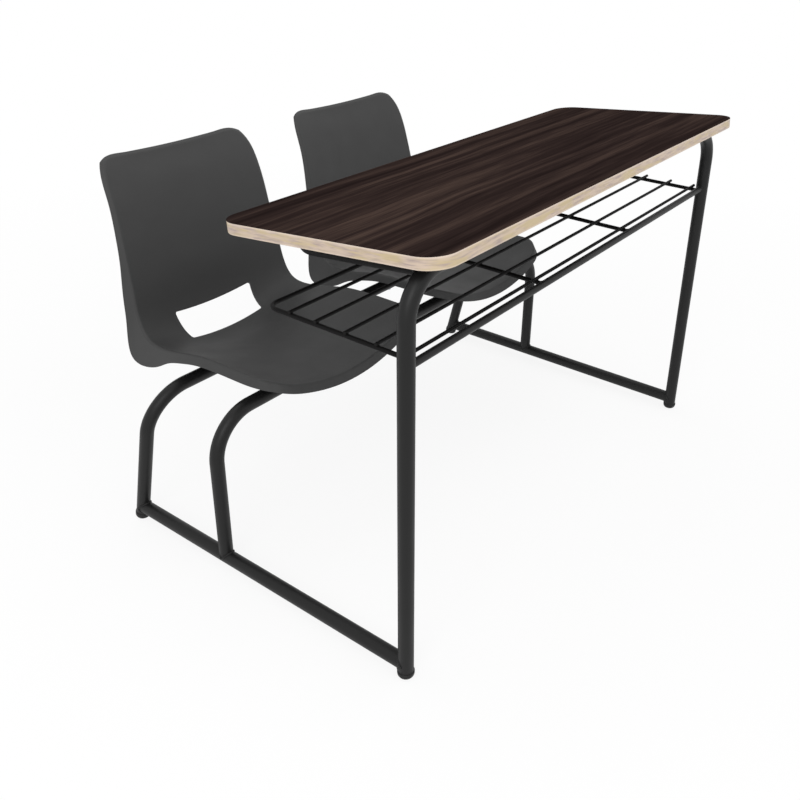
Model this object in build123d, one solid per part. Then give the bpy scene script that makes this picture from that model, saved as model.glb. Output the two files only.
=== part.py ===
from build123d import *
import math
import os

# Double school desk: a sloped two-seat desktop, a wire book shelf and two moulded seat shells on one welded
# steel tube frame. X runs along the desk, the desktop is at -Y, the seats at +Y, and the floor is z = 0.

# steel tube and rod
TUBE_R = 13.45
WALL = 1.5
STRETCHER_R = 6.35
ROD_R = 4.0
CROSS_R = 3.9
WIRE_R = 3.0
WELD_SINK = 0.5
BUTT_GAP = 0.3

# frame
HALF_SPAN = 551.0
FRONT_Y = -404.3
FRONT_BAR_Y = FRONT_Y + 5.7
FRONT_BEND_R = 69.5
BASE_Z = 27.0
SEAT_FRONT_Y = FRONT_Y + 438.0
SEAT_FRONT_TOP_Z = 325.0
SEAT_REAR_FOOT_Y = FRONT_Y + 697.0
SEAT_REAR_LEAN = 13.9
SEAT_REAR_SIZE = 315.0
SEAT_BEND_R = 86.0

# desktop
TOP_LENGTH = 1100.0
TOP_DEPTH = 431.0
TOP_THICK = 20.0
TOP_SLOPE = 5.71
TOP_FRONT_Y = FRONT_Y - 45.5
TOP_FRONT_Z = 759.5
TOP_CORNER_R = 42.0
SLOPE = math.radians(TOP_SLOPE)
FRONT_BAR_Z = (TOP_FRONT_Z - (TOP_THICK + TUBE_R) / math.cos(SLOPE)
               - (FRONT_BAR_Y - TOP_FRONT_Y) * math.tan(SLOPE))
FRONT_LEAN = -math.degrees(math.atan2(FRONT_BAR_Y - FRONT_Y, FRONT_BAR_Z))
BAND = 2.0
BAND_ROUND = 1.2
LAMINATE = 0.8

# support tube under the desktop
SUPPORT_X = 504.0
SUPPORT_REAR_Y = FRONT_Y + 251.0
SUPPORT_BEND_R = 30.0
TAB_X = (-380.0, 0.0, 380.0)
TAB_W = 32.0
TAB_REACH = 30.0
TAB_THICK = 3.0

# book shelf
STRETCHER_Z = 586.2
STRETCHER_Y = FRONT_Y + (FRONT_BAR_Y - FRONT_Y) * STRETCHER_Z / FRONT_BAR_Z
ROD_Z = 585.5
SHELF_X = 528.0
SHELF_REAR_Y = FRONT_Y + 303.4
SHELF_CORNER_R = 22.0
CROSS_X = 170.0
WIRE_Y = (20.0, 76.0, 136.0, 196.0, 250.0)
WIRE_OVERSHOOT = 11.0

# feet
CAP_R = 14.9
CAP_H = 13.3
CAP_ROUND = 9.0
CAP_CHAMFER = 1.2
CAP_SINK_PER_DEGREE = 0.144
PLUG_LENGTH = 18.0

# seat shells
SEAT_X = 261.3
SHELL_THICK = 4.0
SEAT_HALF_W = 210.6
BACK_HALF_W = 180.3
FRONT_CORNER_R = 64.5
TOP_CORNER_SEAT_R = 34.9
LIP_OUT = 7.9
LIP_EDGE = 3.2
RIM_SETBACK = 2.5
RIM_ROUND = 5.0
SURFACE_TOL = 1e-3
# centre line and rim line of the shell from the front edge to the top, as (y, z) past the front legs
CENTRE_LINE = ((357, 342.5), (441, 341.6), (545, 335), (625, 325.5), (680, 318.5), (724, 320),
               (767, 369), (779, 437), (793, 520), (814, 622), (847.7, 697.7))
RIM_LINE = ((363.7, 395.3), (456, 391), (563, 386.4), (661, 367.8), (728.8, 376.2),
            (753.6, 432), (774.8, 530), (798.7, 623), (840.2, 706.1))
# depth of the lip under the rim, as (share of the way from the front edge to the top, depth)
LIP_DEPTH = ((0.0, 16), (0.33, 18.5), (0.42, 26.2), (0.505, 74.5), (0.56, 33.4),
             (0.62, 25.1), (0.73, 11), (0.86, 5.4), (1.0, 4.4))
ROWS = 18
COLS = 12
OPENING_Y = 743.6
OPENING_Z = 348.9
OPENING_TILT = 56.6
OPENING_LOW = -28.5
OPENING_LOW_X = 98.5
LOW_SAG = 7.5
OPENING_HIGH = 36.0
OPENING_HIGH_X = 104.5
HIGH_SAG = 5.0
OPENING_ROUND = 5.0
OPENING_REACH = 60.0
BOSS_X = 95.0
BOSS_R = 12.0
SCREW_GRIP = 12.0
SCREW_R = 2.5
SCREW_HEAD_R = 5.5
SCREW_HEAD_H = 3.5


def export(shape, name):
    os.makedirs("parts", exist_ok=True)
    export_step(shape, f"parts/{name}.step")


def cylinder(start, end, radius):
    """A round bar between two points."""
    a, b = Vector(*start), Vector(*end)
    along = b - a
    return Solid.make_cylinder(radius, along.length, Plane(origin=a, z_dir=along.normalized()))


def swept(path, radius):
    """A round bar along a path."""
    return sweep(Plane(origin=path @ 0, z_dir=path % 0) * Circle(radius), path=path)


def bent_tube(path, names):
    """A bent steel tube from left to right, as its whole outer form and its open runs and bends by name."""
    runs = zip(names, path.edges().sort_by(Axis.X))
    return swept(path, TUBE_R), {name: swept(run, TUBE_R) - swept(run, TUBE_R - WALL) for name, run in runs}


def run_names(row, straight):
    """Node names for the three straight runs and two bends of a U-shaped tube."""
    pieces = (f"{straight}_left", "bend_left", "bar", "bend_right", f"{straight}_right")
    return [f"{row}_{piece}" for piece in pieces]


def arch(plane, height, bend_r, foot):
    """The path of an upside-down U in a plane whose x runs along the desk and whose y runs up the legs."""
    points = [(-HALF_SPAN, foot), (-HALF_SPAN, height), (HALF_SPAN, height), (HALF_SPAN, foot)]
    return plane * FilletPolyline(*points, radius=bend_r)


def legs_plane(y, lean=0.0):
    """The plane of a pair of legs standing at y, with the tops leaning towards the desk."""
    up = Vector(0, -math.sin(math.radians(lean)), math.cos(math.radians(lean)))
    return Plane(origin=(0, y, 0), x_dir=(1, 0, 0), z_dir=Vector(1, 0, 0).cross(up))


def desk_plane():
    """The plane of the desktop's underside: x along the desk, y down the slope to the sitter."""
    normal = Vector(0, math.sin(SLOPE), math.cos(SLOPE))
    front = Vector(0, TOP_FRONT_Y, TOP_FRONT_Z) - normal * TOP_THICK
    return Plane(origin=front, x_dir=(1, 0, 0), z_dir=normal)


# Desktop: a chipboard core edged with a band, a laminate laid over both and a balancing sheet below.
def board(inset, low, high):
    size_x, size_y = TOP_LENGTH - 2 * inset, TOP_DEPTH - 2 * inset
    outline = RectangleRounded(size_x, size_y, TOP_CORNER_R - inset)
    return extrude(Pos(0, TOP_DEPTH / 2, low) * outline, high - low)


def desktop():
    place = desk_plane()
    core = board(BAND, LAMINATE, TOP_THICK - LAMINATE)
    laminate = board(0, TOP_THICK - LAMINATE, TOP_THICK)
    balance = board(BAND, 0, LAMINATE)
    band = board(0, 0, TOP_THICK - LAMINATE) - board(BAND, 0, TOP_THICK)
    band = fillet(band.faces().sort_by(Axis.Z)[0].outer_wire().edges(), BAND_ROUND)
    for shape, name in ((core, "desktop_core"), (laminate, "desktop_laminate"),
                        (balance, "desktop_balance_sheet"), (band, "desktop_edge_band")):
        export(place * shape, name)


# Frame: three bent tubes span the whole length, and two floor tubes join them at the ends.
def frame():
    front_height = math.hypot(FRONT_BAR_Y - FRONT_Y, FRONT_BAR_Z)
    front_path = arch(legs_plane(FRONT_Y, FRONT_LEAN), front_height, FRONT_BEND_R, CAP_H)
    front_outer, front = bent_tube(front_path, run_names("front", "leg"))
    seat_front_path = arch(legs_plane(SEAT_FRONT_Y), SEAT_FRONT_TOP_Z, SEAT_BEND_R, BASE_Z)
    seat_front_outer, seat_front = bent_tube(seat_front_path, run_names("seat_front", "leg"))
    seat_rear_path = arch(legs_plane(SEAT_REAR_FOOT_Y, SEAT_REAR_LEAN), SEAT_REAR_SIZE, SEAT_BEND_R, CAP_H)
    seat_rear_outer, seat_rear = bent_tube(seat_rear_path, run_names("seat_rear", "leg"))

    base_front_y = FRONT_Y - BASE_Z * math.tan(math.radians(FRONT_LEAN)) + BUTT_GAP
    base_rear_y = SEAT_REAR_FOOT_Y - BASE_Z * math.tan(math.radians(SEAT_REAR_LEAN))
    for side, hand in ((-1, "left"), (1, "right")):
        start, end = (side * HALF_SPAN, base_front_y, BASE_Z), (side * HALF_SPAN, base_rear_y, BASE_Z)
        outer = cylinder(start, end, TUBE_R)
        tube = outer - cylinder(start, end, TUBE_R - WALL)
        export(tube - front_outer - seat_rear_outer, f"base_tube_{hand}")
        seat_front[f"seat_front_leg_{hand}"] -= outer

    start, end = (-HALF_SPAN, STRETCHER_Y, STRETCHER_Z), (HALF_SPAN, STRETCHER_Y, STRETCHER_Z)
    stretcher = cylinder(start, end, STRETCHER_R)
    export(stretcher - front_outer, "front_stretcher")

    support_outer, support = support_tube()
    for hand in ("left", "right"):
        support[f"support_arm_{hand}"] -= front_outer
    for x in seat_screw_places():
        seat_front["seat_front_bar"] -= screw_hole(x, *seat_front_bar())
        seat_rear["seat_rear_bar"] -= screw_hole(x, *seat_rear_bar())
    for runs in (front, support, seat_front, seat_rear):
        for name, run in runs.items():
            export(run, name)
    tabs(front_outer, support_outer)
    return stretcher


# Support tube: a flat U laid along the underside of the desktop, welded to the front frame's top bar.
def support_tube():
    place = desk_plane()
    front_local = place.to_local_coords(Vector(0, FRONT_BAR_Y, FRONT_BAR_Z)).Y
    rear_local = (SUPPORT_REAR_Y - TOP_FRONT_Y) / math.cos(SLOPE)
    points = [(-SUPPORT_X, front_local), (-SUPPORT_X, rear_local),
              (SUPPORT_X, rear_local), (SUPPORT_X, front_local)]
    path = place * Pos(0, 0, -TUBE_R) * FilletPolyline(*points, radius=SUPPORT_BEND_R)
    return bent_tube(path, run_names("support", "arm"))


# Tabs: flat steel lugs welded inside the two cross bars, each with one screw up into the desktop.
def tabs(front_outer, support_outer):
    place = desk_plane()
    front_local = place.to_local_coords(Vector(0, FRONT_BAR_Y, FRONT_BAR_Z)).Y
    rear_local = (SUPPORT_REAR_Y - TOP_FRONT_Y) / math.cos(SLOPE)
    screws = []
    rows = ((front_local, 1, "desktop_tabs_front"), (rear_local, -1, "desktop_tabs_rear"))
    for local_y, inwards, name in rows:
        lugs = []
        for x in TAB_X:
            mid = local_y + inwards * (TUBE_R + TAB_REACH) / 2
            lug = Pos(x, mid, -TAB_THICK / 2) * Box(TAB_W, TUBE_R + TAB_REACH, TAB_THICK)
            hole_y = local_y + inwards * (TUBE_R + TAB_REACH / 2)
            lug -= Pos(x, hole_y, 0) * Cylinder(SCREW_R, 20)
            lug = place * lug - front_outer - support_outer
            lugs.append(lug.solids().sort_by(SortBy.VOLUME)[-1])
            screws.append(place * Pos(x, hole_y, -TAB_THICK) * screw(TAB_THICK))
        export(Compound(lugs), name)
    export(Compound(screws), "desktop_screws")


def screw(reach):
    """A pan-head screw pointing up, with its bearing face at z = 0."""
    head = Pos(0, 0, -SCREW_HEAD_H / 2) * Cylinder(SCREW_HEAD_R, SCREW_HEAD_H)
    head = fillet(head.edges().sort_by(Axis.Z)[0], 1.8)
    return head + Pos(0, 0, reach / 2) * Cylinder(SCREW_R, reach)


# Book shelf: a thick rod bent round the back, two cross rods butted inside it and thin wires welded on top.
def shelf(stretcher):
    points = [(-SHELF_X, STRETCHER_Y), (-SHELF_X, SHELF_REAR_Y),
              (SHELF_X, SHELF_REAR_Y), (SHELF_X, STRETCHER_Y)]
    rim = swept(Pos(0, 0, ROD_Z) * FilletPolyline(*points, radius=SHELF_CORNER_R), ROD_R) - stretcher
    export(rim, "shelf_rim_rod")
    cross = []
    for x, name in ((-CROSS_X, "shelf_cross_rod_left"), (CROSS_X, "shelf_cross_rod_right")):
        rod = cylinder((x, STRETCHER_Y, ROD_Z), (x, SHELF_REAR_Y, ROD_Z), CROSS_R) - stretcher - rim
        cross.append(rod.solids().sort_by(SortBy.VOLUME)[-1])
        export(cross[-1], name)
    wire_z = ROD_Z + ROD_R + WIRE_R - WELD_SINK
    for number, y in enumerate(WIRE_Y, 1):
        start, end = (-SHELF_X - ROD_R, FRONT_Y + y, wire_z), (SHELF_X + WIRE_OVERSHOOT, FRONT_Y + y, wire_z)
        wire = cylinder(start, end, WIRE_R)
        export(wire - rim - cross[0] - cross[1], f"shelf_wire_{number}")


# Foot caps: rounded plastic plugs pressed up into the tube ends, flat where they meet the floor.
def foot_cap(y, lean):
    start = -abs(lean) * CAP_SINK_PER_DEGREE
    cap = Pos(0, 0, (start + CAP_H) / 2) * Cylinder(CAP_R, CAP_H - start)
    cap = fillet(cap.edges().sort_by(Axis.Z)[0], CAP_ROUND)
    cap = chamfer(cap.edges().sort_by(Axis.Z)[-1], CAP_CHAMFER)
    cap += Pos(0, 0, CAP_H + PLUG_LENGTH / 2) * Cylinder(TUBE_R - WALL - 0.05, PLUG_LENGTH)
    cap = Pos(0, y, 0) * Rot(lean, 0, 0) * cap
    above_floor = Pos(0, y, 50) * Box(100, 100, 100)
    return cap & above_floor


def feet():
    for y, lean, row in ((FRONT_Y, FRONT_LEAN, "front"), (SEAT_REAR_FOOT_Y, SEAT_REAR_LEAN, "rear")):
        for side, hand in ((-1, "left"), (1, "right")):
            export(Pos(side * HALF_SPAN, 0, 0) * foot_cap(y, lean), f"foot_cap_{row}_{hand}")


# Seat shells: one moulding each, dished across, with a lip turned down round the whole edge.
def seat_front_bar():
    return SEAT_FRONT_Y, SEAT_FRONT_TOP_Z


def seat_rear_bar():
    lean = math.radians(SEAT_REAR_LEAN)
    return SEAT_REAR_FOOT_Y - SEAT_REAR_SIZE * math.sin(lean), SEAT_REAR_SIZE * math.cos(lean)


def seat_screw_places():
    return [middle + side * BOSS_X for middle in (-SEAT_X, SEAT_X) for side in (-1, 1)]


def screw_hole(x, y, z):
    return Pos(x, y, z) * Cylinder(SCREW_R + 0.7, 4 * TUBE_R)


def between(pairs, share):
    """A value read off straight runs between pairs."""
    for (low, a), (high, b) in zip(pairs, pairs[1:]):
        if share <= high:
            return a + (b - a) * (share - low) / (high - low)
    return pairs[-1][1]


class ShellForm:
    """The upper surface of a seat shell: x across, share from 0 at the front edge to 1 at the top."""

    def __init__(self):
        self.centre = Spline(*[(0, y + FRONT_Y, z) for y, z in CENTRE_LINE])
        self.rim = Spline(*[(0, y + FRONT_Y, z) for y, z in RIM_LINE])
        self.length = self.rim.length

    def half_width(self, share):
        return SEAT_HALF_W - (SEAT_HALF_W - BACK_HALF_W) * max(0.0, (share - 0.4) / 0.6)

    def point(self, x, share):
        low, high = self.centre @ share, self.rim @ share
        across = (x / self.half_width(share)) ** 2
        return Vector(x, low.Y + (high.Y - low.Y) * across, low.Z + (high.Z - low.Z) * across)

    def normal(self, x, share):
        step = 0.002
        a, b = max(0.0, share - step), min(1.0, share + step)
        along = self.point(x, b) - self.point(x, a)
        across = self.point(x + 0.5, share) - self.point(x - 0.5, share)
        return across.cross(along).normalized()

    def underside(self, x, share):
        """The point below, drawn in a little so that the lip keeps its thickness at the rim."""
        x *= 1 - RIM_SETBACK / SEAT_HALF_W
        share = 0.5 + (share - 0.5) * (1 - 2 * RIM_SETBACK / self.length)
        return self.point(x, share) - self.normal(x, share) * SHELL_THICK

    def upright(self, share):
        """The direction square to the profile, without its tilt across the dish."""
        step = 0.002
        a, b = max(0.0, share - step), min(1.0, share + step)
        along = (self.centre @ b - self.centre @ a) + (self.rim @ b - self.rim @ a)
        return Vector(1, 0, 0).cross(along).normalized()

    def outline(self):
        """The rim as four runs of (x, share), each from the middle of one rounded corner to the next."""
        def corner(radius, share, sign_x, sign_s, start, end):
            wide = self.half_width(share)
            runs = []
            for i in range(13):
                angle = math.radians(start + (end - start) * i / 12)
                x = sign_x * (wide - radius * (1 - math.cos(angle)))
                along = radius * (1 - math.sin(angle)) / self.length
                runs.append((x, along if sign_s < 0 else 1 - along))
            return runs

        front = FRONT_CORNER_R
        top = TOP_CORNER_SEAT_R
        runs = [
            corner(front, 0, -1, -1, 45, 90) + corner(front, 0, 1, -1, 90, 45),
            corner(front, 0.05, 1, -1, 45, 0) + self.side(1) + corner(top, 0.98, 1, 1, 0, 45),
            corner(top, 1, 1, 1, 45, 90) + corner(top, 1, -1, 1, 90, 45),
            corner(top, 0.98, -1, 1, 45, 0) + self.side(-1)[::-1] + corner(front, 0.05, -1, -1, 0, 45),
        ]
        for i, run in enumerate(runs):
            run[-1] = runs[(i + 1) % 4][0]
        return runs

    def side(self, sign):
        shares = [0.12 + 0.80 * i / 30 for i in range(31)]
        return [(sign * self.half_width(share), share) for share in shares]


def even_steps(run, steps, length):
    """The same run of (x, share), cut into even steps."""
    far = [0.0]
    for (x0, s0), (x1, s1) in zip(run, run[1:]):
        far.append(far[-1] + math.hypot(x1 - x0, (s1 - s0) * length))
    pairs_x = list(zip(far, [p[0] for p in run]))
    pairs_s = list(zip(far, [p[1] for p in run]))
    places = [far[-1] * i / steps for i in range(steps)]
    return [(between(pairs_x, place), between(pairs_s, place)) for place in places] + [run[-1]]


def patch(front, right, top, left):
    """A grid of (x, share) filled in between four runs."""
    rows, cols = len(right) - 1, len(front) - 1
    grid = []
    for j in range(rows + 1):
        b = j / rows
        line = []
        for i in range(cols + 1):
            a = i / cols
            spot = []
            for k in (0, 1):
                ends = (1 - b) * front[i][k] + b * top[i][k] + (1 - a) * left[j][k] + a * right[j][k]
                low = (1 - a) * front[0][k] + a * front[-1][k]
                high = (1 - a) * top[0][k] + a * top[-1][k]
                spot.append(ends - (1 - b) * low - b * high)
            line.append(tuple(spot))
        grid.append(line)
    return grid


def nearest_edge(face, middle):
    return min(face.edges(), key=lambda edge: (edge @ 0.5 - middle).length)


def strip(edge, points):
    """A ruled face from an edge to the curve through some points."""
    curve = Edge.make_spline(points)
    if (edge @ 0 - curve @ 0).length > (edge @ 0 - curve @ 1).length:
        curve = Edge.make_spline(points[::-1])
    return Face.make_surface_from_curves(edge, curve), curve


def shell_solid(form):
    runs = form.outline()
    front = even_steps(runs[0], COLS, form.length)
    right = even_steps(runs[1], ROWS, form.length)
    top = even_steps(runs[2], COLS, form.length)
    left = even_steps(runs[3], ROWS, form.length)
    loop = [front, right, top, left]
    grid = patch(front, right, top[::-1], left[::-1])

    upper = [[form.point(*spot) for spot in line] for line in grid]
    lower = [[form.underside(*spot) for spot in line] for line in grid]
    closed = [spot for run in loop for spot in run[:-1]]
    centre = form.point(0, 0.5)
    inner, lip_out, lip_in = {}, {}, {}
    for i, spot in enumerate(closed):
        here, normal = form.point(*spot), form.upright(spot[1])
        ahead = form.point(*closed[(i + 1) % len(closed)]) - form.point(*closed[i - 1])
        out = ahead.cross(normal).normalized()
        if out.dot(here - centre) < 0:
            out = out * -1
        depth = between(LIP_DEPTH, spot[1])
        inner[spot] = form.underside(*spot)
        lip_out[spot] = here + out * LIP_OUT - normal * depth
        lip_in[spot] = here + out * (LIP_OUT - LIP_EDGE) - normal * depth
    pan_top = Face.make_surface_from_array_of_points(upper, tol=SURFACE_TOL)
    pan_low = Face.make_surface_from_array_of_points(lower, tol=SURFACE_TOL)
    faces = [pan_top, pan_low]
    for run in loop:
        middle = run[len(run) // 2]
        outer_face, outer_curve = strip(nearest_edge(pan_top, form.point(*middle)), [lip_out[s] for s in run])
        inner_face, inner_curve = strip(nearest_edge(pan_low, inner[middle]), [lip_in[s] for s in run])
        if (outer_curve @ 0 - inner_curve @ 0).length > (outer_curve @ 0 - inner_curve @ 1).length:
            same_way = (outer_curve @ 0 - lip_out[run[0]]).length < 1
            inner_curve = Edge.make_spline([lip_in[s] for s in (run if same_way else run[::-1])])
        faces += [outer_face, inner_face, Face.make_surface_from_curves(outer_curve, inner_curve)]
    solid = Solid(Shell(faces))
    pan_edges = [nearest_edge(solid, form.point(*run[len(run) // 2])) for run in loop]
    return fillet(pan_edges, RIM_ROUND)


def back_opening():
    """The cut through the foot of the back, with its long edges sagging in the middle."""
    low = ThreePointArc((-OPENING_LOW_X, OPENING_LOW), (0, OPENING_LOW - LOW_SAG),
                        (OPENING_LOW_X, OPENING_LOW))
    high = ThreePointArc((OPENING_HIGH_X, OPENING_HIGH), (0, OPENING_HIGH - HIGH_SAG),
                         (-OPENING_HIGH_X, OPENING_HIGH))
    outline = make_face([low, Line(low @ 1, high @ 0), high, Line(high @ 1, low @ 0)])
    outline = fillet(outline.vertices(), OPENING_ROUND)
    tilt = math.radians(OPENING_TILT)
    facing = Vector(0, -math.sin(tilt), math.cos(tilt))
    place = Plane(origin=(0, FRONT_Y + OPENING_Y, OPENING_Z), x_dir=(1, 0, 0), z_dir=facing)
    return extrude(place * outline, OPENING_REACH, both=True)


def boss(form, x, y, z):
    """A round stand under the seat that sits astride a seat tube and takes its screw."""
    share = next(i / 500 for i in range(500) if (form.centre @ (i / 500)).Y > y)
    normal = form.normal(x, share)
    mid_wall = Plane(origin=form.point(x, share) - normal * SHELL_THICK / 2, z_dir=normal)
    return (Pos(x, y, z + 40) * Cylinder(BOSS_R, 80)) & (mid_wall * Pos(0, 0, -50) * Box(100, 100, 100))


def seats():
    form = ShellForm()
    shell = shell_solid(form) - back_opening()
    screws = []
    for y, z in (seat_front_bar(), seat_rear_bar()):
        bar = cylinder((-BOSS_X * 2, y, z), (BOSS_X * 2, y, z), TUBE_R)
        for x in (-BOSS_X, BOSS_X):
            shell += boss(form, x, y, z) - bar
            shell -= Pos(x, y, z + TUBE_R) * Cylinder(SCREW_R, 2 * SCREW_GRIP)
            head = Pos(x, y, z - TUBE_R - SCREW_HEAD_H / 2 + 1.0) * Cylinder(SCREW_HEAD_R, SCREW_HEAD_H)
            shank = cylinder((x, y, z - TUBE_R - 1), (x, y, z + TUBE_R + SCREW_GRIP), SCREW_R)
            screws.append(head - bar + shank)
    for middle, side in ((-SEAT_X, "left"), (SEAT_X, "right")):
        export(Pos(middle, 0, 0) * shell, f"seat_shell_{side}")
        export(Compound([Pos(middle, 0, 0) * screw for screw in screws]), f"seat_screws_{side}")


desktop()
shelf(frame())
feet()
seats()
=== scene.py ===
import math

import bmesh
import bpy
from mathutils import Matrix, Vector, noise
from mathutils.bvhtree import BVHTree


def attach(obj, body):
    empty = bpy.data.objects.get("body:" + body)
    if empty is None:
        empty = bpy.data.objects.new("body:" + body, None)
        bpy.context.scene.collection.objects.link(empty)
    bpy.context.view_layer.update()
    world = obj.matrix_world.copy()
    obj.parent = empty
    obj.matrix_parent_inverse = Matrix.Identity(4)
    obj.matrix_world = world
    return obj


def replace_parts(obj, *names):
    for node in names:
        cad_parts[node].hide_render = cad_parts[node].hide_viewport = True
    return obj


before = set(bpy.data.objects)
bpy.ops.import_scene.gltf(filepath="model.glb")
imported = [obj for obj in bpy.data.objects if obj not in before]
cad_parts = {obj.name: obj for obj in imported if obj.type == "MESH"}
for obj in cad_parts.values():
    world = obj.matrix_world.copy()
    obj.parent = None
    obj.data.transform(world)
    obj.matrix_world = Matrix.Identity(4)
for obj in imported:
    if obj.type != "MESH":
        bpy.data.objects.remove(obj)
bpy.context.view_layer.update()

# Double school desk: a sloped two-seat desktop, a wire book shelf and two moulded seat shells, all on one
# welded frame of bent steel tube. X runs along the desk, the desktop is at -Y and the seats at +Y.


# Camera: a 40 mm lens at eye height off the desk's near left end, turned 26 degrees down, as the desk is
# pictured. The two shifts put the desk where the photograph has it in its frame.
CAMERA_PLACE = Vector((-1.4034, -1.0644, 1.1811))
CAMERA_YAW = 0.9568
CAMERA_PITCH = 0.4547
CAMERA_ROLL = 0.0291
FOCAL_PX = 885.07
CENTRE_PX = (444.95, 325.79)
PICTURE_PX = 800
SENSOR_MM = 36.0
CLIP_START = 0.05

ahead = Vector((math.sin(CAMERA_YAW) * math.cos(CAMERA_PITCH),
                math.cos(CAMERA_YAW) * math.cos(CAMERA_PITCH),
                -math.sin(CAMERA_PITCH)))
level = Vector((math.cos(CAMERA_YAW), -math.sin(CAMERA_YAW), 0))
upward = level.cross(ahead)
right = level * math.cos(CAMERA_ROLL) + upward * math.sin(CAMERA_ROLL)
upright = upward * math.cos(CAMERA_ROLL) - level * math.sin(CAMERA_ROLL)

lens = bpy.data.cameras.new("camera")
lens.sensor_width = SENSOR_MM
lens.lens = FOCAL_PX * SENSOR_MM / PICTURE_PX
lens.shift_x = (PICTURE_PX / 2 - CENTRE_PX[0]) / PICTURE_PX
lens.shift_y = (CENTRE_PX[1] - PICTURE_PX / 2) / PICTURE_PX
lens.clip_start = CLIP_START
camera = bpy.data.objects.new("camera", lens)
camera.matrix_world = Matrix((
    (right.x, upright.x, -ahead.x, CAMERA_PLACE.x),
    (right.y, upright.y, -ahead.y, CAMERA_PLACE.y),
    (right.z, upright.z, -ahead.z, CAMERA_PLACE.z),
    (0, 0, 0, 1),
))
bpy.context.scene.collection.objects.link(camera)
bpy.context.scene.camera = camera
bpy.context.scene.view_settings.view_transform = "Standard"


# Studio: a matt white floor that fades into a white surround, so only a faint shadow shows at the feet. The
# surround lights the desk from all round, and three large soft lamps give it shape from the upper left, the
# front and above.
FLOOR_WHITE = "#FCFCFC"
FLOOR_SIZE = 30.0
FLOOR_GLOW = 0.86
FADE_START = 1.0
FADE_END = 2.6
SURROUND_STRENGTH = 0.74
LAMP_TARGET = Vector((0, 0, 0.4))

# each lamp's name, place, width in metres and power in watts
LAMPS = (
    ("key_lamp", (-2.9, -1.4, 2.6), 2.4, 42.0),
    ("fill_lamp", (-0.2, -2.6, 3.0), 2.4, 17.0),
    ("overhead_lamp", (0.3, 1.4, 3.4), 2.8, 10.0),
)


def linear(hex_colour):
    """A written sRGB colour as the linear colour that shaders take."""
    channels = [int(hex_colour[i:i + 2], 16) / 255 for i in (1, 3, 5)]
    return [c / 12.92 if c <= 0.04045 else ((c + 0.055) / 1.055) ** 2.4 for c in channels] + [1.0]


def node(tree, kind, sockets, **settings):
    """Adds a shader node with its settings, its sockets filled with values or other nodes' outputs."""
    made = tree.nodes.new("ShaderNode" + kind)
    for name, value in settings.items():
        setattr(made, name, value)
    for socket, value in sockets.items():
        if isinstance(value, bpy.types.NodeSocket):
            tree.links.new(value, made.inputs[socket])
        else:
            made.inputs[socket].default_value = value
    return made


def material(name):
    """A new material with an empty node tree."""
    made = bpy.data.materials.new(name)
    made.use_nodes = True
    made.node_tree.nodes.clear()
    return made, made.node_tree


half = FLOOR_SIZE / 2
floor_corners = [(-half, -half, 0), (half, -half, 0), (half, half, 0), (-half, half, 0)]
floor_mesh = bpy.data.meshes.new("floor")
floor_mesh.from_pydata(floor_corners, [], [(0, 1, 2, 3)])
floor = bpy.data.objects.new("floor", floor_mesh)
bpy.context.scene.collection.objects.link(floor)

# matt white paint: nothing shines in it, and away from the desk it is as white as the surround
floor_paint, tree = material("matt_white_studio_paint")
place = node(tree, "TexCoord", {})
far = node(tree, "VectorMath", {0: place.outputs["Object"]}, operation="LENGTH")
fade = node(tree, "MapRange", {"Value": far.outputs["Value"], "From Min": FADE_START, "From Max": FADE_END,
                               "To Min": FLOOR_GLOW, "To Max": 1.0})
rays = node(tree, "LightPath", {})
seen = node(tree, "Math", {0: rays.outputs["Is Camera Ray"], 1: rays.outputs["Is Glossy Ray"]},
            operation="MAXIMUM")
share = node(tree, "Math", {0: seen.outputs[0], 1: fade.outputs[0]}, operation="MULTIPLY")
lit = node(tree, "BsdfDiffuse", {"Color": linear(FLOOR_WHITE)})
glow = node(tree, "Emission", {"Color": (1, 1, 1, 1), "Strength": 1.0})
mix = node(tree, "MixShader", {0: share.outputs[0], 1: lit.outputs[0], 2: glow.outputs[0]})
node(tree, "OutputMaterial", {"Surface": mix.outputs[0]})
floor_mesh.materials.append(floor_paint)

# white surround: plain white to the camera and in gloss, and a little dimmer as a light on the desk
surround = bpy.data.worlds.new("white_surround")
bpy.context.scene.world = surround
surround.use_nodes = True
tree = surround.node_tree
tree.nodes.clear()
rays = node(tree, "LightPath", {})
seen = node(tree, "Math", {0: rays.outputs["Is Camera Ray"], 1: rays.outputs["Is Glossy Ray"]},
            operation="MAXIMUM")
dim = node(tree, "Background", {"Color": (1, 1, 1, 1), "Strength": SURROUND_STRENGTH})
bright = node(tree, "Background", {"Color": (1, 1, 1, 1), "Strength": 1.0})
mix = node(tree, "MixShader", {0: seen.outputs[0], 1: dim.outputs[0], 2: bright.outputs[0]})
node(tree, "OutputWorld", {"Surface": mix.outputs[0]})

for name, place, size, power in LAMPS:
    lamp = bpy.data.lights.new(name, "AREA")
    lamp.shape = "DISK"
    lamp.size = size
    lamp.energy = power
    holder = bpy.data.objects.new(name, lamp)
    holder.location = place
    holder.rotation_mode = "QUATERNION"
    holder.rotation_quaternion = (LAMP_TARGET - Vector(place)).to_track_quat("-Z", "Y")
    bpy.context.scene.collection.objects.link(holder)


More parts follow.
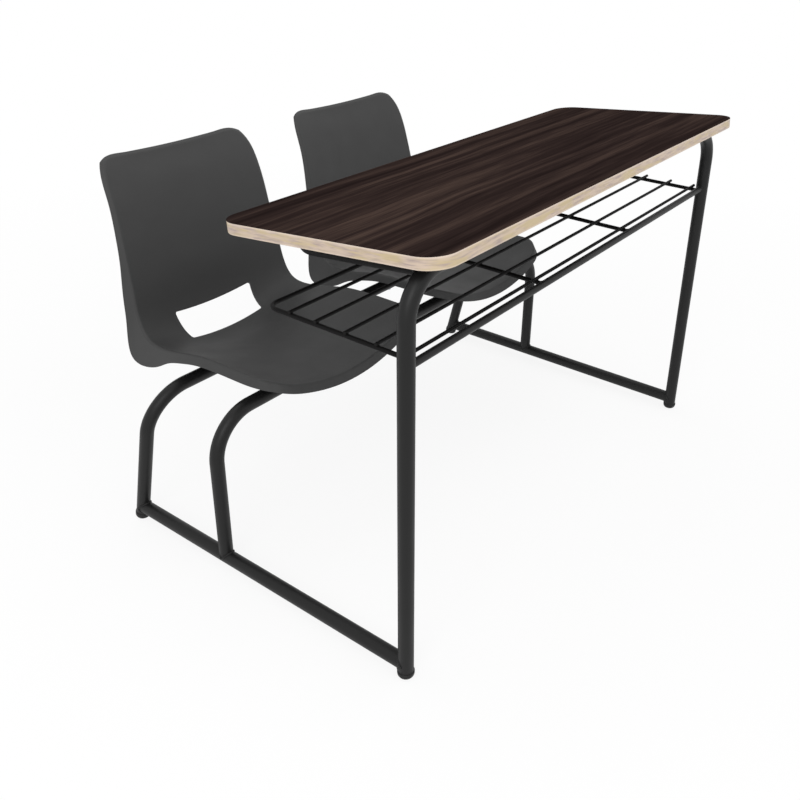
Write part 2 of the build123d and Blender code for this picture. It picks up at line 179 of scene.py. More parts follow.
# Desktop board: 20 mm chipboard, sloped down to the sitters, with a printed laminate pressed on its top and
# a plain balancing sheet under it. The print is a dark brown wenge whose grain runs the desk's length.
MM = 0.001
SLOPE = math.radians(5.71)
TOP_FRONT_Y = -449.8 * MM
TOP_FRONT_Z = 759.5 * MM
TOP_THICK = 20.0 * MM
WENGE_DARK = "#211918"
WENGE_MID = "#2E2422"
WENGE_LIGHT = "#4A3C36"
STREAK_MM = 2.1
STREAK_WEIGHT = 0.5
BAND_MM = 24.0
PORE_MM = 0.9
GRAIN_LENGTH = 0.028
DRIFT_PER_METRE = 3.2
DRIFT_MM = 20.0
KRAFT_BROWN = "#3F3733"
KRAFT_DARK = "#38312E"
CLOUD_MM = 25.0
FIBRE_MM = 1.2
CHIP_LIGHT = "#C3A67E"
CHIP_DARK = "#8F7350"
CHIP_MM = 4.0

# most of a noise's values lie between these two
NOISE_SPREAD = {"From Min": 0.3, "From Max": 0.7}


def finish_node(name, finish):
    """Gives a piece of the frame its finish on every face: its real one, or the powder with painted shade.
    """
    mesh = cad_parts[name].data
    mesh.materials.clear()
    mesh.materials.append(finish)
    for face in mesh.polygons:
        face.material_index = 0


# melamine laminate: dark streaks and a few paler bands show, and the press plate leaves almost no shine.
# The pores are drawn about twice as wide as real ones, so that they show close up.
laminate, tree = material("wenge_melamine_laminate")
place = node(tree, "TexCoord", {})
drift = node(tree, "TexNoise", {"Vector": place.outputs["Object"], "Scale": DRIFT_PER_METRE,
                                "Detail": 1.0})
bow = node(tree, "VectorMath", {0: drift.outputs["Color"], 1: (0, DRIFT_MM * MM, 0)},
           operation="MULTIPLY")
bent = node(tree, "VectorMath", {0: place.outputs["Object"], 1: bow.outputs[0]}, operation="ADD")
grain = node(tree, "Mapping", {"Vector": bent.outputs[0], "Scale": (GRAIN_LENGTH, 1, 1)})
bands = node(tree, "TexNoise", {"Vector": grain.outputs[0], "Scale": 1 / (BAND_MM * MM), "Detail": 3.0})
streaks = node(tree, "TexNoise", {"Vector": grain.outputs[0], "Scale": 1 / (STREAK_MM * MM),
                                  "Detail": 4.0})
tone = node(tree, "Math", {0: streaks.outputs["Fac"], 1: STREAK_WEIGHT, 2: bands.outputs["Fac"]},
            operation="MULTIPLY_ADD")
deep = node(tree, "MapRange", {"Value": tone.outputs[0], "From Min": 0.54, "From Max": 0.74})
wood = node(tree, "Mix", {0: deep.outputs[0], 6: linear(WENGE_DARK), 7: linear(WENGE_MID)},
            data_type="RGBA")
pale = node(tree, "MapRange", {"Value": tone.outputs[0], "From Min": 0.74, "From Max": 1.02})
wood = node(tree, "Mix", {0: pale.outputs[0], 6: wood.outputs[2], 7: linear(WENGE_LIGHT)},
            data_type="RGBA")
pores = node(tree, "TexNoise", {"Vector": grain.outputs[0], "Scale": 1 / (PORE_MM * MM), "Detail": 1.0})
relief = node(tree, "Bump", {"Height": pores.outputs["Fac"], "Strength": 0.2, "Distance": 0.05 * MM})
sheet = node(tree, "BsdfPrincipled", {"Base Color": wood.outputs[2], "Roughness": 0.5,
                                      "Specular IOR Level": 0.0, "Normal": relief.outputs[0]})
node(tree, "OutputMaterial", {"Surface": sheet.outputs[0]})
finish_node("desktop_laminate", laminate)

# kraft balancing sheet: resin-soaked brown paper, dull and faintly cloudy. Its fibres are drawn much
# thicker than real ones, so that they show at all.
kraft, tree = material("resin_kraft_balancing_sheet")
place = node(tree, "TexCoord", {})
cloud = node(tree, "TexNoise", {"Vector": place.outputs["Object"], "Scale": 1 / (CLOUD_MM * MM),
                                "Detail": 5.0})
even = node(tree, "MapRange", {"Value": cloud.outputs["Fac"], **NOISE_SPREAD})
brown = node(tree, "Mix", {0: even.outputs[0], 6: linear(KRAFT_DARK), 7: linear(KRAFT_BROWN)},
             data_type="RGBA")
fibre = node(tree, "TexNoise", {"Vector": place.outputs["Object"], "Scale": 1 / (FIBRE_MM * MM),
                                "Detail": 2.0})
relief = node(tree, "Bump", {"Height": fibre.outputs["Fac"], "Strength": 0.3, "Distance": 0.1 * MM})
sheet = node(tree, "BsdfPrincipled", {"Base Color": brown.outputs[2], "Roughness": 0.7,
                                      "Specular IOR Level": 0.25, "Normal": relief.outputs[0]})
node(tree, "OutputMaterial", {"Surface": sheet.outputs[0]})
finish_node("desktop_balance_sheet", kraft)

# chipboard: pressed wood flakes of a few millimetres, covered on every side
chipboard, tree = material("pressed_chipboard")
place = node(tree, "TexCoord", {})
chips = node(tree, "TexVoronoi", {"Vector": place.outputs["Object"], "Scale": 1 / (CHIP_MM * MM)})
gap = node(tree, "MapRange", {"Value": chips.outputs["Distance"], "From Min": 0.1, "From Max": 0.7})
flake = node(tree, "Mix", {0: gap.outputs[0], 6: linear(CHIP_LIGHT), 7: linear(CHIP_DARK)},
             data_type="RGBA")
relief = node(tree, "Bump", {"Height": chips.outputs["Distance"], "Strength": 0.5, "Distance": 0.3 * MM})
pressed = node(tree, "BsdfPrincipled", {"Base Color": flake.outputs[2], "Roughness": 0.85,
                                        "Normal": relief.outputs[0]})
node(tree, "OutputMaterial", {"Surface": pressed.outputs[0]})
finish_node("desktop_core", chipboard)


# Edge band: a 2 mm plastic strip glued right round the board, printed as pale wood in patches of lilac grey
# and straw that run along the edge. Its upper and lower edges are trimmed flush once it is glued.
BAND_PALE = "#C8B5A3"
BAND_LILAC = "#A89790"
BAND_STRAW = "#C2B089"
PATCH_MM = 3.5
PATCH_STRETCH = 9.0
BLOTCH_MM = 6.0
BLOTCH_STRETCH = 7.0
BAND_TRIMMED = "#DFCFC0"
TRIM_TOP = 3.5 * MM
TRIM_LOW = 2.0 * MM
TRIM_START = 1.0 * MM

# heights are measured square to the board
TOP_HEIGHT = TOP_FRONT_Y * math.sin(SLOPE) + TOP_FRONT_Z * math.cos(SLOPE)
LOW_HEIGHT = TOP_HEIGHT - TOP_THICK

# printed ABS: smooth and satin, with soft blotches rather than grain, and paler where it was trimmed
edge_abs, tree = material("printed_abs_edge_band")
place = node(tree, "TexCoord", {})
flat = node(tree, "Mapping", {"Vector": place.outputs["Object"], "Rotation": (SLOPE, 0, 0)})
along = node(tree, "Mapping", {"Vector": flat.outputs[0], "Scale": (1, 1, PATCH_STRETCH)})
patch = node(tree, "TexNoise", {"Vector": along.outputs[0], "Scale": 1 / (PATCH_MM * PATCH_STRETCH * MM),
                                "Detail": 3.0})
pale = node(tree, "MapRange", {"Value": patch.outputs["Fac"], "From Min": 0.34, "From Max": 0.58})
tint = node(tree, "Mix", {0: pale.outputs[0], 6: linear(BAND_LILAC), 7: linear(BAND_PALE)},
            data_type="RGBA")
short = node(tree, "Mapping", {"Vector": flat.outputs[0], "Scale": (1, 1, BLOTCH_STRETCH)})
straw = node(tree, "TexNoise", {"Vector": short.outputs[0], "Scale": 1 / (BLOTCH_MM * BLOTCH_STRETCH * MM),
                                "Detail": 1.0})
share = node(tree, "MapRange", {"Value": straw.outputs["Fac"], "From Min": 0.45, "From Max": 0.65,
                                "To Min": 0.0, "To Max": 0.8})
tint = node(tree, "Mix", {0: share.outputs[0], 6: tint.outputs[2], 7: linear(BAND_STRAW)},
            data_type="RGBA")
height = node(tree, "SeparateXYZ", {"Vector": flat.outputs[0]})
upper = node(tree, "MapRange", {"Value": height.outputs["Z"],
                                "From Min": TOP_HEIGHT - TRIM_START - TRIM_TOP,
                                "From Max": TOP_HEIGHT - TRIM_START, "To Max": 0.8})
lower = node(tree, "MapRange", {"Value": height.outputs["Z"],
                                "From Min": LOW_HEIGHT + TRIM_START + TRIM_LOW,
                                "From Max": LOW_HEIGHT + TRIM_START, "To Max": 0.5})
trim = node(tree, "Math", {0: upper.outputs[0], 1: lower.outputs[0]}, operation="MAXIMUM")
tint = node(tree, "Mix", {0: trim.outputs[0], 6: tint.outputs[2], 7: linear(BAND_TRIMMED)},
            data_type="RGBA")
strip = node(tree, "BsdfPrincipled", {"Base Color": tint.outputs[2], "Roughness": 0.45,
                                      "Specular IOR Level": 0.3})
node(tree, "OutputMaterial", {"Surface": strip.outputs[0]})
finish_node("desktop_edge_band", edge_abs)


# Frame: 26.9 mm mild steel tube, bent cold into the front legs and the two tubes under the seats, with
# straight floor tubes and a thin stretcher between the front legs. It is powder coated after welding.
POWDER_BLACK = "#191919"
PEEL_MM = 1.6
HAZE_MM = 70.0

# baked powder: satin black with a fine orange peel, so a highlight along a tube is soft and a bit uneven
powder_black, tree = material("satin_black_powder_coat")
place = node(tree, "TexCoord", {})
peel = node(tree, "TexNoise", {"Vector": place.outputs["Object"], "Scale": 1 / (PEEL_MM * MM),
                               "Detail": 2.0})
relief = node(tree, "Bump", {"Height": peel.outputs["Fac"], "Strength": 0.25, "Distance": 0.1 * MM})
haze = node(tree, "TexNoise", {"Vector": place.outputs["Object"], "Scale": 1 / (HAZE_MM * MM),
                               "Detail": 3.0})
sheen = node(tree, "MapRange", {"Value": haze.outputs["Fac"], **NOISE_SPREAD,
                                "To Min": 0.40, "To Max": 0.48})
coat = node(tree, "BsdfPrincipled", {"Base Color": linear(POWDER_BLACK), "Roughness": sheen.outputs[0],
                                     "Specular IOR Level": 0.25, "Normal": relief.outputs[0]})
node(tree, "OutputMaterial", {"Surface": coat.outputs[0]})

tube_nodes = ["base_tube_left", "base_tube_right", "front_stretcher"]
for row in ("front", "seat_front", "seat_rear"):
    for run in ("leg_left", "bend_left", "bar", "bend_right", "leg_right"):
        tube_nodes.append(f"{row}_{run}")
for name in tube_nodes:
    finish_node(name, powder_black)


# Frame welds: a rippled bead of weld metal runs round each joint of the frame, where one tube butts on
# another. The beads were coated with the frame, so they are black too.
TUBE_R = 13.45 * MM
STRETCHER_R = 6.35 * MM
HALF_SPAN = 551.0 * MM
FRONT_Y = -404.3 * MM
FRONT_BAR_Y = FRONT_Y + 5.7 * MM
FRONT_BAR_Z = 720.8 * MM
BASE_Z = 27.0 * MM
SEAT_FRONT_Y = FRONT_Y + 438.0 * MM
SEAT_REAR_FOOT_Y = FRONT_Y + 697.0 * MM
SEAT_REAR_LEAN = math.radians(13.9)
STRETCHER_Z = 586.2 * MM
SUPPORT_X = 504.0 * MM
BEAD_R = 2.3 * MM
THIN_BEAD_R = 1.5 * MM
BEAD_SIDES = 8
BEAD_STEP = 0.75 * MM
BEAD_LEAST_STEPS = 16
BEAD_END = 0.3
RIPPLE = 3.0 * MM
RIPPLE_SHARE = 0.13
UNEVEN_SHARE = 0.25
UNEVEN_PER_METRE = 90

# points well along the seat's leg and the support's arm, from which their joints are looked for
SEAT_LEG_POINT_Z = 200.0 * MM
ARM_POINT = 100.0 * MM


def bead(mesh, points, outs, radius, closed=True):
    """Adds a rippled bead along points, standing out the way that outs point."""
    rings = []
    count = len(points)
    travelled = 0.0
    for i, (point, out) in enumerate(zip(points, outs)):
        after = points[(i + 1) % count] if closed or i < count - 1 else point
        before = points[i - 1] if closed or i else point
        ahead = (after - before).normalized()
        across = ahead.cross(out).normalized()
        if i:
            travelled += (point - points[i - 1]).length
        ripple = 1 + RIPPLE_SHARE * math.sin(2 * math.pi * travelled / RIPPLE)
        size = radius * (ripple + UNEVEN_SHARE * noise.noise(point * UNEVEN_PER_METRE))
        if not closed and i in (0, count - 1):
            size *= BEAD_END
        ring = []
        for k in range(BEAD_SIDES):
            angle = 2 * math.pi * k / BEAD_SIDES
            ring.append(mesh.verts.new(point + (across * math.cos(angle) + out * math.sin(angle)) * size))
        rings.append(ring)
    pairs = list(zip(rings, rings[1:] + rings[:1])) if closed else list(zip(rings, rings[1:]))
    for low, high in pairs:
        for k in range(BEAD_SIDES):
            n = (k + 1) % BEAD_SIDES
            mesh.faces.new((low[k], low[n], high[n], high[k]))
    if not closed:
        mesh.faces.new(rings[0][::-1])
        mesh.faces.new(rings[-1])


def joint_bead(mesh, start, along, radius, main_point, main_along, main_radius, bead_radius):
    """A bead round the line where a round bar that comes from start meets a thicker or equal one."""
    along, main_along = along.normalized(), main_along.normalized()
    side = along.cross(main_along).normalized()
    up = side.cross(along)
    steps = max(BEAD_LEAST_STEPS, round(2 * math.pi * radius / BEAD_STEP))
    points, outs = [], []
    for i in range(steps):
        angle = 2 * math.pi * i / steps
        away = side * math.cos(angle) + up * math.sin(angle)
        spot = start + away * radius
        reach = spot - main_point
        reach -= main_along * reach.dot(main_along)
        run = along - main_along * along.dot(main_along)
        a, b, c = run.dot(run), 2 * reach.dot(run), reach.dot(reach) - main_radius ** 2
        hit = spot + along * (-b - math.sqrt(max(b * b - 4 * a * c, 0))) / (2 * a)
        inward = hit - main_point
        main_out = (inward - main_along * inward.dot(main_along)).normalized()
        points.append(hit)
        outs.append((away + main_out).normalized())
    bead(mesh, points, outs, bead_radius)


def desk_piece(name, mesh, finish):
    """Turns a finished mesh into a smooth piece of the desk."""
    bmesh.ops.recalc_face_normals(mesh, faces=mesh.faces)
    data = bpy.data.meshes.new(name)
    mesh.to_mesh(data)
    mesh.free()
    for face in data.polygons:
        face.use_smooth = True
    data.materials.append(finish)
    piece = bpy.data.objects.new(name, data)
    bpy.context.scene.collection.objects.link(piece)
    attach(piece, "root")
    return piece


front_up = Vector((0, FRONT_BAR_Y - FRONT_Y, FRONT_BAR_Z)).normalized()
rear_up = Vector((0, -math.sin(SEAT_REAR_LEAN), math.cos(SEAT_REAR_LEAN)))
down_slope = Vector((0, math.cos(SLOPE), -math.sin(SLOPE)))
stretcher_y = FRONT_Y + (FRONT_BAR_Y - FRONT_Y) * STRETCHER_Z / FRONT_BAR_Z
bar_middle = Vector((0, FRONT_BAR_Y, FRONT_BAR_Z))
beads = bmesh.new()
for side in (-1, 1):
    front_foot = Vector((side * HALF_SPAN, FRONT_Y, 0))
    rear_foot = Vector((side * HALF_SPAN, SEAT_REAR_FOOT_Y, 0))
    base_middle = Vector((side * HALF_SPAN, 0, BASE_Z))
    joint_bead(beads, base_middle, Vector((0, -1, 0)), TUBE_R, front_foot, front_up, TUBE_R, BEAD_R)
    joint_bead(beads, base_middle, Vector((0, 1, 0)), TUBE_R, rear_foot, rear_up, TUBE_R, BEAD_R)
    seat_leg = Vector((side * HALF_SPAN, SEAT_FRONT_Y, SEAT_LEG_POINT_Z))
    joint_bead(beads, seat_leg, Vector((0, 0, -1)), TUBE_R, base_middle, Vector((0, 1, 0)), TUBE_R, BEAD_R)
    joint_bead(beads, Vector((0, stretcher_y, STRETCHER_Z)), Vector((side, 0, 0)), STRETCHER_R,
               front_foot, front_up, TUBE_R, THIN_BEAD_R)
    arm = bar_middle + Vector((side * SUPPORT_X, 0, 0)) + down_slope * ARM_POINT
    joint_bead(beads, arm, -down_slope, TUBE_R, bar_middle, Vector((1, 0, 0)), TUBE_R, BEAD_R)
desk_piece("frame_welds", beads, powder_black)


# Support tube and tabs: the desktop's rear rests on a flat U of the frame's tube, and six 3 mm steel tabs
# take the screws that hold the board down. Each tab is welded under its bar along one edge.
PAINTED_SHADE_BLACK = "#0C0B0B"
SHADE_HAZE_MM = 40.0
SUPPORT_REAR_Y = FRONT_Y + 251.0 * MM
TAB_XS = (-380.0 * MM, 0.0, 380.0 * MM)
TAB_W = 32.0 * MM
TAB_THICK = 3.0 * MM
TAB_BEAD_R = 1.8 * MM
TAB_BEAD_INSET = 2.5 * MM
TAB_BEAD_STEPS = 36

# the frame's powder again, with the board's shade painted in: drawn flatter and blacker than on the legs,
# so it reads as dark lines
powder_painted_shade, tree = material("powder_coat_painted_shade")
place = node(tree, "TexCoord", {})
peel = node(tree, "TexNoise", {"Vector": place.outputs["Object"], "Scale": 1 / (PEEL_MM * MM),
                               "Detail": 2.0})
relief = node(tree, "Bump", {"Height": peel.outputs["Fac"], "Strength": 0.2, "Distance": 0.1 * MM})
haze = node(tree, "TexNoise", {"Vector": place.outputs["Object"], "Scale": 1 / (SHADE_HAZE_MM * MM),
                               "Detail": 3.0})
sheen = node(tree, "MapRange", {"Value": haze.outputs["Fac"], **NOISE_SPREAD,
                                "To Min": 0.52, "To Max": 0.62})
coat = node(tree, "BsdfPrincipled", {"Base Color": linear(PAINTED_SHADE_BLACK), "Roughness": sheen.outputs[0],
                                     "Specular IOR Level": 0.12, "Normal": relief.outputs[0]})
node(tree, "OutputMaterial", {"Surface": coat.outputs[0]})
# the support and the tabs under the board get this powder with painted shade
for name in ("support_arm_left", "support_bend_left", "support_bar", "support_bend_right",
             "support_arm_right", "desktop_tabs_front", "desktop_tabs_rear"):
    finish_node(name, powder_painted_shade)

board_normal = Vector((0, math.sin(SLOPE), math.cos(SLOPE)))
under_front = Vector((0, TOP_FRONT_Y, TOP_FRONT_Z)) - board_normal * TOP_THICK
front_bar_down = (bar_middle - under_front).dot(down_slope)
rear_bar_down = (SUPPORT_REAR_Y - TOP_FRONT_Y) / math.cos(SLOPE)

# how far down the slope each bar lies, and which way its tabs point
TAB_ROWS = ((front_bar_down, 1), (rear_bar_down, -1))


def under_board(x, down, out):
    """A point under the board: along the desk, down the slope and out of the underside."""
    return under_front + Vector((x, 0, 0)) + down_slope * down - board_normal * out


beads = bmesh.new()
toe = math.sqrt(TUBE_R ** 2 - (TUBE_R - TAB_THICK) ** 2)
for bar_down, inwards in TAB_ROWS:
    for tab_x in TAB_XS:
        points, outs = [], []
        for i in range(TAB_BEAD_STEPS + 1):
            x = tab_x + (i / TAB_BEAD_STEPS - 0.5) * (TAB_W - 2 * TAB_BEAD_INSET)
            points.append(under_board(x, bar_down + inwards * toe, TAB_THICK))
            outs.append((down_slope * inwards - board_normal).normalized())
        bead(beads, points, outs, TAB_BEAD_R, closed=False)
# the welds under the board get the same powder with painted shade
desk_piece("tab_welds", beads, powder_painted_shade)


# Book shelf: 8 mm rod bent round three sides, two cross rods and five 6 mm wires, spot welded where they
# cross and coated with the frame. The wires run a little past the outer rod at the right end.
ROD_R = 4.0 * MM
CROSS_R = 3.9 * MM
ROD_Z = 585.5 * MM
SHELF_X = 528.0 * MM
SHELF_REAR_Y = FRONT_Y + 303.4 * MM
CROSS_X = 170.0 * MM
WIRES_BEHIND_LEGS = (20.0 * MM, 76.0 * MM, 136.0 * MM, 196.0 * MM, 250.0 * MM)
CONTACT_Z = ROD_Z + ROD_R
ROD_BEAD_R = 1.1 * MM
SPOT_R = 1.0 * MM
SPOT_STEP = 0.8 * MM
SPOT_REACH = 4
SPOT_OFF = 1.9 * MM
SPOT_OUT = 0.8
SPOT_UP = 0.6

# the shelf's rods and wires lie under the desktop and get the frame's powder with painted shade
shelf_nodes = ["shelf_rim_rod", "shelf_cross_rod_left", "shelf_cross_rod_right"]
shelf_nodes += [f"shelf_wire_{number + 1}" for number in range(len(WIRES_BEHIND_LEGS))]
for name in shelf_nodes:
    finish_node(name, powder_painted_shade)

beads = bmesh.new()
stretcher_middle = Vector((0, stretcher_y, STRETCHER_Z))
rim_rear = Vector((0, SHELF_REAR_Y, ROD_Z))
for x, radius in ((-SHELF_X, ROD_R), (-CROSS_X, CROSS_R), (CROSS_X, CROSS_R), (SHELF_X, ROD_R)):
    rod = Vector((x, (stretcher_y + SHELF_REAR_Y) / 2, ROD_Z))
    joint_bead(beads, rod, Vector((0, -1, 0)), radius, stretcher_middle, Vector((1, 0, 0)), STRETCHER_R,
               ROD_BEAD_R)
    if radius == CROSS_R:
        joint_bead(beads, rod, Vector((0, 1, 0)), radius, rim_rear, Vector((1, 0, 0)), ROD_R, ROD_BEAD_R)
    for behind in WIRES_BEHIND_LEGS:
        for side in (-1, 1):
            # molten metal was squeezed out along both sides of the wire
            points, outs = [], []
            for i in range(-SPOT_REACH, SPOT_REACH + 1):
                points.append(Vector((x + i * SPOT_STEP, FRONT_Y + behind + side * SPOT_OFF, CONTACT_Z)))
                outs.append(Vector((0, side * SPOT_OUT, SPOT_UP)))
            bead(beads, points, outs, SPOT_R, closed=False)
# the spot welds get the same painted shade
desk_piece("shelf_welds", beads, powder_painted_shade)


# Foot caps: moulded polyethylene plugs, pressed up into the ends of the legs. They keep the steel off the
# floor, and are rounded there round a small flat.
CAP_BLACK = "#151515"
CAP_GRAIN_MM = 1.1
SCUFF_MM = 9.0

# polyethylene: waxy and duller than the tubes, with a mould's fine grain, drawn twice as coarse so it shows
cap_plastic, tree = material("moulded_polyethylene")
place = node(tree, "TexCoord", {})
grain = node(tree, "TexNoise", {"Vector": place.outputs["Object"], "Scale": 1 / (CAP_GRAIN_MM * MM),
                                "Detail": 2.0})
relief = node(tree, "Bump", {"Height": grain.outputs["Fac"], "Strength": 0.3, "Distance": 0.1 * MM})
scuff = node(tree, "TexNoise", {"Vector": place.outputs["Object"], "Scale": 1 / (SCUFF_MM * MM),
                                "Detail": 3.0})
dull = node(tree, "MapRange", {"Value": scuff.outputs["Fac"], **NOISE_SPREAD,
                               "To Min": 0.5, "To Max": 0.65})
plug = node(tree, "BsdfPrincipled", {"Base Color": linear(CAP_BLACK), "Roughness": dull.outputs[0],
                                     "Specular IOR Level": 0.3, "Normal": relief.outputs[0]})
node(tree, "OutputMaterial", {"Surface": plug.outputs[0]})
for row in ("front", "rear"):
    for hand in ("left", "right"):
        finish_node(f"foot_cap_{row}_{hand}", cap_plastic)


# Seat shells: one injection moulding each, in charcoal polypropylene coloured through, with a turned lip
# all round and an open slot at the foot of the back. Ribbed bosses under the seat stand on the seat bars.
SHELL_GREY = "#393939"
TEXTURE_MM = 0.9
FLOW_MM = 60.0
SEAT_X = 261.3 * MM
BOSS_X = 95.0 * MM
BOSS_R = 12.0 * MM
RIB_HALF = 1.0 * MM
RIB_HEIGHT = 11.0 * MM
RIB_REACH = 20.0 * MM
RIB_STEPS = 6
RIB_CLEAR = 1.0 * MM
RIB_INSET = 0.5 * MM
RIB_SUNK = 0.6 * MM
RIB_TIP = 0.3 * MM
RIB_CURVE = 1.3
RIB_DRAFT = 0.7
GATE_Y = 130.0 * MM
BELOW_SEAT_Z = 200.0 * MM
CIRCLE_STEP = 15
CRISP_ANGLE = math.radians(40)

# the depth and the height of the middle of each seat bar
SEAT_BARS = ((33.7 * MM, 325.0 * MM), (217.03 * MM, 305.78 * MM))

# radius and height in mm of the ring and stub that the mould's gate leaves
GATE_PROFILE = ((5.5, -0.6), (5.5, 0.5), (4.7, 0.5), (4.5, 0.1), (1.7, 0.1), (1.3, 1.5))

# spark-eroded polypropylene: an even matt grey with a leather-fine grain, which spreads every highlight.
# The grain is drawn about twice as coarse as the real one, so that it shows close up.
shell_plastic, tree = material("spark_textured_polypropylene")
place = node(tree, "TexCoord", {})
grain = node(tree, "TexNoise", {"Vector": place.outputs["Object"], "Scale": 1 / (TEXTURE_MM * MM),
                                "Detail": 3.0})
relief = node(tree, "Bump", {"Height": grain.outputs["Fac"], "Strength": 0.25, "Distance": 0.1 * MM})
flow = node(tree, "TexNoise", {"Vector": place.outputs["Object"], "Scale": 1 / (FLOW_MM * MM),
                               "Detail": 2.0})
matt = node(tree, "MapRange", {"Value": flow.outputs["Fac"], **NOISE_SPREAD,
                               "To Min": 0.58, "To Max": 0.66})
moulding = node(tree, "BsdfPrincipled", {"Base Color": linear(SHELL_GREY), "Roughness": matt.outputs[0],
                                         "Specular IOR Level": 0.35, "Normal": relief.outputs[0]})
node(tree, "OutputMaterial", {"Surface": moulding.outputs[0]})
finish_node("seat_shell_left", shell_plastic)
finish_node("seat_shell_right", shell_plastic)


def circle(radius, z):
    """A ring of points round the Z axis, in step with the corners of a screw's cross."""
    turns = [math.radians(CIRCLE_STEP * (k - 1)) for k in range(360 // CIRCLE_STEP)]
    return [Vector((radius * math.cos(turn), radius * math.sin(turn), z)) for turn in turns]


def skin(mesh, rings, place):
    """Adds a closed form through rings of points that have as many points each."""
    made = [[mesh.verts.new(place @ point) for point in ring] for ring in rings]
    for low, high in zip(made, made[1:]):
        for k in range(len(low)):
            n = (k + 1) % len(low)
            mesh.faces.new((low[k], low[n], high[n], high[k]))
    mesh.faces.new(made[0])
    mesh.faces.new(made[-1])


def crisp_piece(name, mesh, finish):
    """Turns a finished mesh into a piece of the desk whose edges are crisp."""
    piece = desk_piece(name, mesh, finish)
    piece.data.set_sharp_from_angle(angle=CRISP_ANGLE)
    return piece


# four thin ribs brace each boss against the underside, and the stub of the gate stands in a small ring
UP = Vector((0, 0, 1))
RIB_WAYS = (Vector((1, 0, 0)), Vector((0, 1, 0)), Vector((-1, 0, 0)), Vector((0, -1, 0)))
for hand, side in (("left", -1), ("right", 1)):
    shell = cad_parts[f"seat_shell_{hand}"].data
    underside = BVHTree.FromPolygons([v.co for v in shell.vertices], [f.vertices for f in shell.polygons])
    ribs = bmesh.new()
    for bar_y, bar_z in SEAT_BARS:
        for boss_x in (-BOSS_X, BOSS_X):
            foot = Vector((side * SEAT_X + boss_x, bar_y, bar_z))
            for away in RIB_WAYS:
                across = Vector((-away.y, away.x, 0)) * RIB_HALF
                at_boss = underside.ray_cast(foot + away * (BOSS_R + RIB_CLEAR), UP)[0]
                height = min(RIB_HEIGHT, at_boss.z - bar_z - TUBE_R - RIB_CLEAR)
                rings = []
                for i in range(RIB_STEPS + 1):
                    share = i / RIB_STEPS
                    spot = foot + away * (BOSS_R + max(share * RIB_REACH, RIB_INSET))
                    top = underside.ray_cast(spot, UP)[0].z
                    drop = height * (1 - share) ** RIB_CURVE + RIB_TIP
                    place = foot + away * (BOSS_R - RIB_INSET + share * RIB_REACH)
                    high = Vector((place.x, place.y, top + RIB_SUNK))
                    low = Vector((place.x, place.y, top - drop))
                    thin = across * RIB_DRAFT
                    rings.append([high + across, high - across, low - thin, low + thin])
                skin(ribs, rings, Matrix.Identity(4))
    gate, normal = underside.ray_cast(Vector((side * SEAT_X, GATE_Y, BELOW_SEAT_Z)), UP)[:2]
    out = Matrix.Translation(gate) @ normal.to_track_quat("Z", "Y").to_matrix().to_4x4()
    skin(ribs, [circle(radius * MM, height * MM) for radius, height in GATE_PROFILE], out)
    crisp_piece(f"seat_boss_ribs_{hand}", ribs, shell_plastic)


# Screws: zinc-plated steel with pan heads and a cross recess, four up through the seat bars into each
# shell's bosses and one up through each tab into the board.
ZINC = "#B9BCC0"
ZINC_CLOUD_MM = 3.0
SHANK_R = 2.5 * MM
HEAD_R = 5.5 * MM
HEAD_H = 3.5 * MM
HEAD_SIDE = 1.4 * MM
HEAD_FLAT_R = 3.6 * MM
HEAD_STEPS = 5
RECESS_DEPTH = 1.8 * MM
RECESS_ARM = 2.4 * MM
RECESS_W = 0.6 * MM
RECESS_TAPER = 0.62
TAB_REACH = 30.0 * MM
HEAD_SINK = 1.0 * MM
SEAT_GRIP = 12.0 * MM

# bright zinc plate: a cool grey metal, slightly cloudy
zinc_steel, tree = material("zinc_plated_steel")
place = node(tree, "TexCoord", {})
cloud = node(tree, "TexNoise", {"Vector": place.outputs["Object"], "Scale": 1 / (ZINC_CLOUD_MM * MM),
                                "Detail": 3.0})
polish = node(tree, "MapRange", {"Value": cloud.outputs["Fac"], **NOISE_SPREAD,
                                 "To Min": 0.28, "To Max": 0.42})
metal = node(tree, "BsdfPrincipled", {"Base Color": linear(ZINC), "Metallic": 1.0,
                                      "Roughness": polish.outputs[0]})
node(tree, "OutputMaterial", {"Surface": metal.outputs[0]})


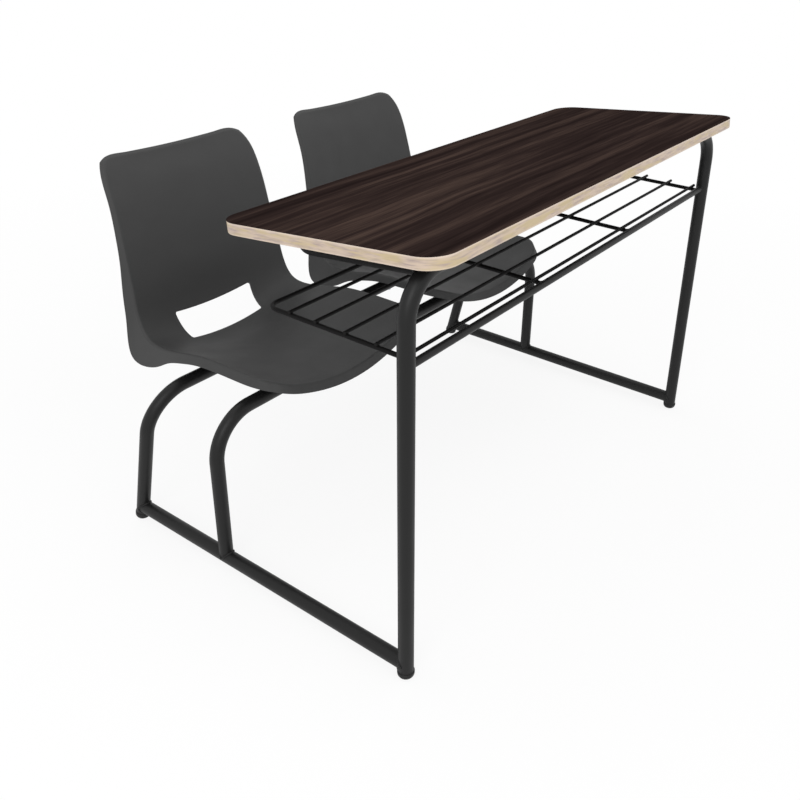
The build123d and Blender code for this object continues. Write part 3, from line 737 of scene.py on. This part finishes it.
def cross(size, z):
    """A cross-shaped ring with as many points as a circle has."""
    arm, half = RECESS_ARM * size, RECESS_W * size
    middle = (arm + half) / 2
    quarter = ((arm, -half), (arm, 0), (arm, half), (middle, half), (half, half), (half, middle))
    ring = []
    for turn in range(4):
        spin = Matrix.Rotation(math.radians(90 * turn), 3, "Z")
        ring += [spin @ Vector((x, y, z)) for x, y in quarter]
    return ring


def pan_screw(mesh, place, reach):
    """Adds a screw that points along the place's Z axis, with the underside of its head at the place."""
    rings = [circle(SHANK_R, reach), circle(SHANK_R, 0), circle(HEAD_R, 0), circle(HEAD_R, -HEAD_SIDE)]
    for step in range(1, HEAD_STEPS + 1):
        swing = math.radians(90 * step / HEAD_STEPS)
        radius = HEAD_FLAT_R + (HEAD_R - HEAD_FLAT_R) * math.cos(swing)
        rings.append(circle(radius, -HEAD_SIDE - (HEAD_H - HEAD_SIDE) * math.sin(swing)))
    rings += [cross(1.0, -HEAD_H), cross(RECESS_TAPER, RECESS_DEPTH - HEAD_H)]
    skin(mesh, rings, place)


def screw_piece(name, stands_for, places, reach):
    """One piece for a group of like screws, in place of the plain ones."""
    mesh = bmesh.new()
    for place in places:
        pan_screw(mesh, place, reach)
    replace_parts(crisp_piece(name, mesh, zinc_steel), stands_for)


for hand, side in (("left", -1), ("right", 1)):
    places = []
    for bar_y, bar_z in SEAT_BARS:
        for boss_x in (-BOSS_X, BOSS_X):
            places.append(Matrix.Translation((side * SEAT_X + boss_x, bar_y, bar_z - TUBE_R + HEAD_SINK)))
    reach = 2 * TUBE_R - HEAD_SINK + SEAT_GRIP
    screw_piece(f"seat_pan_screws_{hand}", f"seat_screws_{hand}", places, reach)

places = []
tilt = Matrix.Rotation(-SLOPE, 4, "X")
for bar_down, inwards in TAB_ROWS:
    for tab_x in TAB_XS:
        hole = under_board(tab_x, bar_down + inwards * (TUBE_R + TAB_REACH / 2), TAB_THICK)
        places.append(Matrix.Translation(hole) @ tilt)
screw_piece("desktop_pan_screws", "desktop_screws", places, TAB_THICK)
